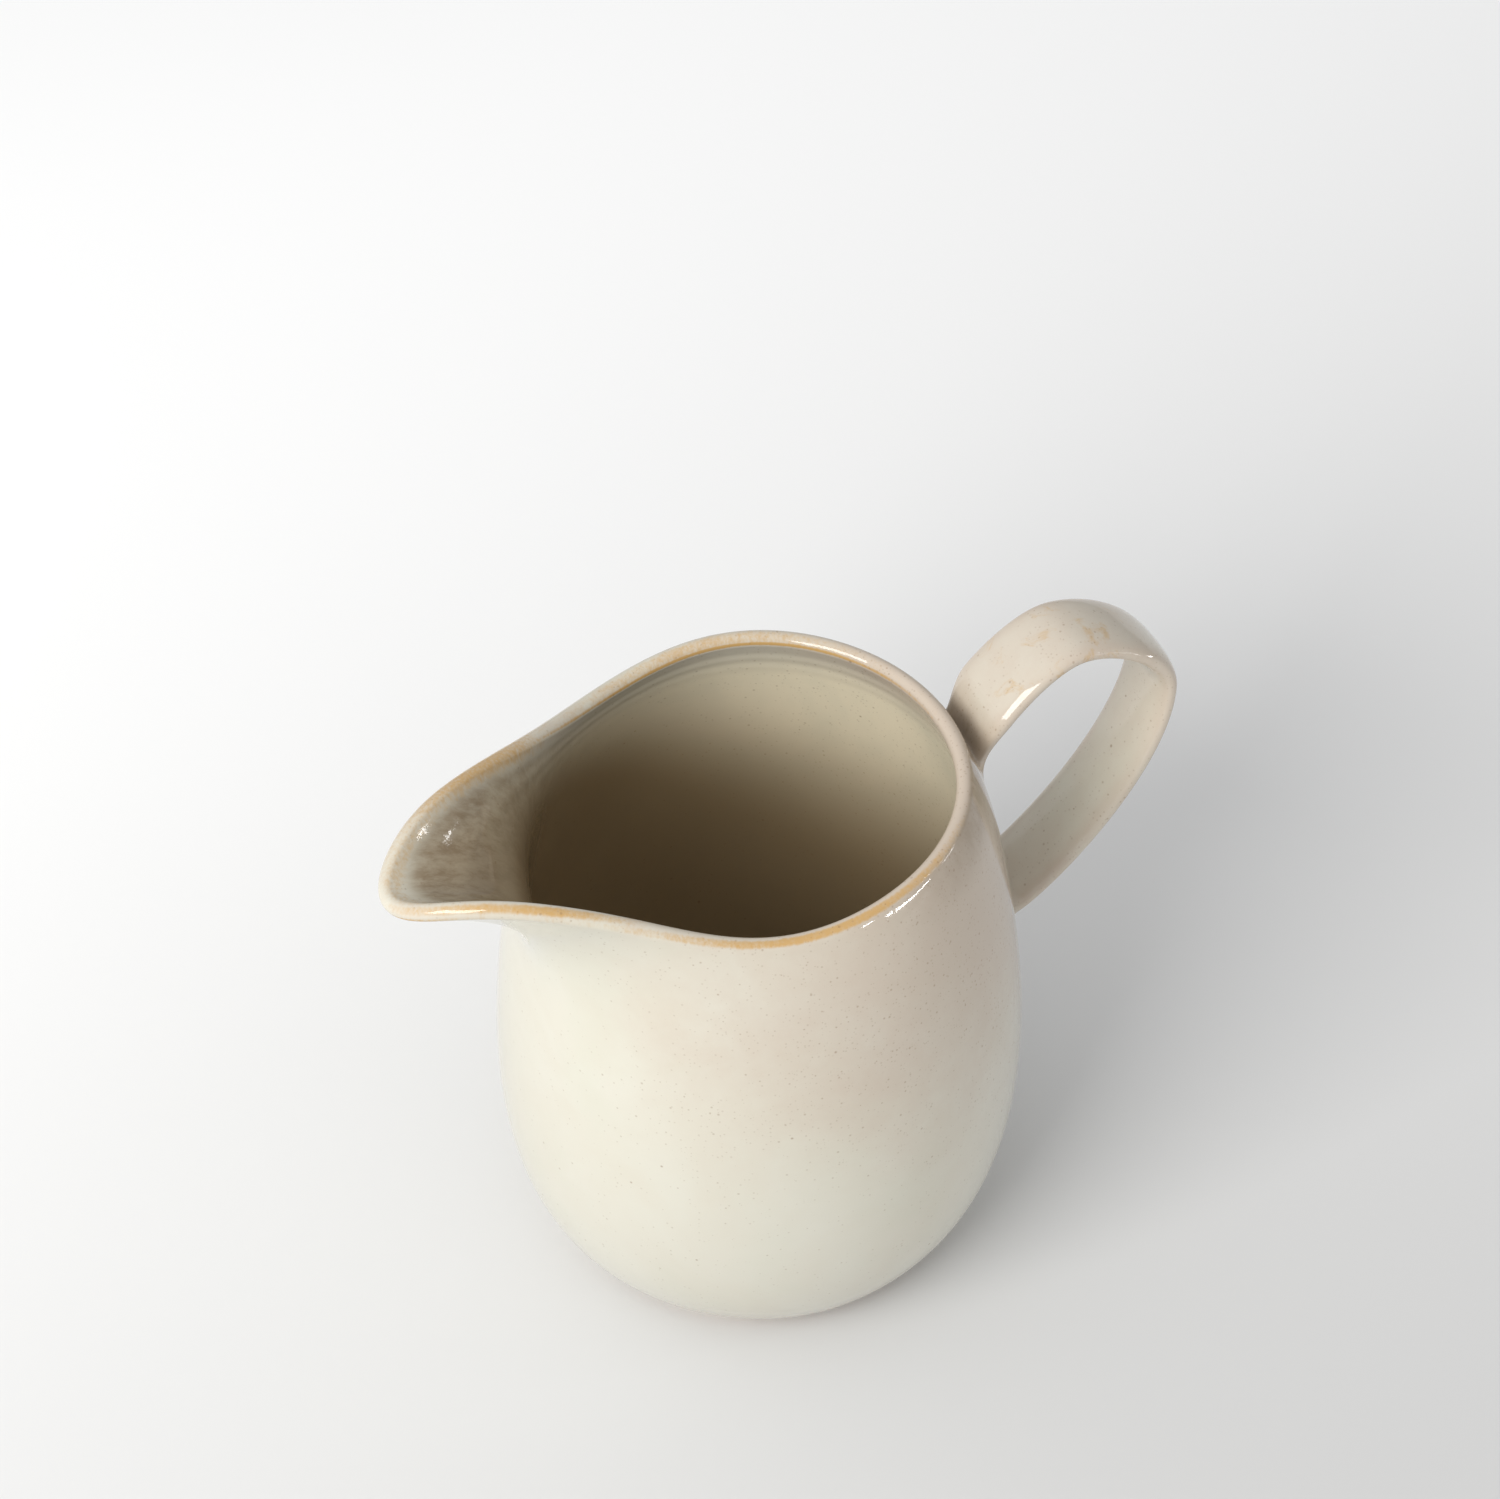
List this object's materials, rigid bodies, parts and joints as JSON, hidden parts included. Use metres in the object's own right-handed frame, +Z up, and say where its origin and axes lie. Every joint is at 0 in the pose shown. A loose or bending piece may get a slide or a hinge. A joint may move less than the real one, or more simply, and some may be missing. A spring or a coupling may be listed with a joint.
{
  "type": "pitcher",
  "caption": "Glazed stoneware pitcher with a rounded belly, a pulled pouring spout and a strap handle that loops above the rim.",
  "frame": {"origin": "centre of the foot ring on the surface that the pitcher stands on", "axes": "+Z up along the body's axis, +X towards the handle, -X towards the spout"},
  "size_m": [0.1933, 0.122, 0.1538],
  "materials": {
    "clay": "matte",
    "cream_glaze": "gloss",
    "lining_glaze": "gloss"
  },
  "bodies": {
    "root": {"body": "clay", "handle": "clay", "upper_joint": "cream_glaze", "lower_joint": "cream_glaze", "outer_glaze": "cream_glaze", "inner_glaze": "lining_glaze", "handle_glaze": "cream_glaze"}
  },
  "joints": []
}
